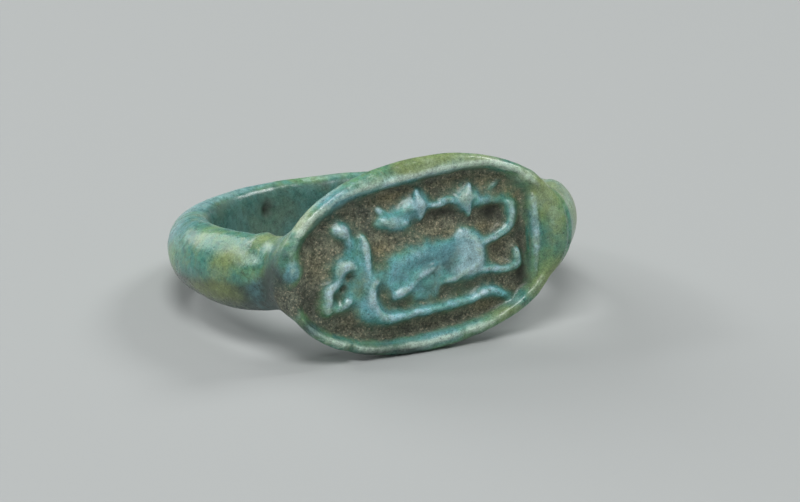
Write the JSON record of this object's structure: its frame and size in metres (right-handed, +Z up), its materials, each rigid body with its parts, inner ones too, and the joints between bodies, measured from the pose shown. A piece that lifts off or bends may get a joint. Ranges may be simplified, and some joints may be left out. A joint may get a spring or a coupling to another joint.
{
  "type": "finger ring",
  "caption": "Moulded finger ring of blue-green glazed faience, lying on its side: a round hoop and an oval bezel whose sunk field holds a worn raised figure.",
  "frame": {"origin": "on the surface the ring lies on, under the middle of its bounding box", "axes": "+Z up; the bezel faces -Y, leaning back a little, and its length runs near X; the finger hole's axis leans back from +Z"},
  "size_m": [0.0224, 0.0202, 0.0103],
  "materials": {
    "faience": "satin blue-green glaze, worn and mottled"
  },
  "bodies": {
    "root": {"ring": "faience"}
  },
  "joints": []
}
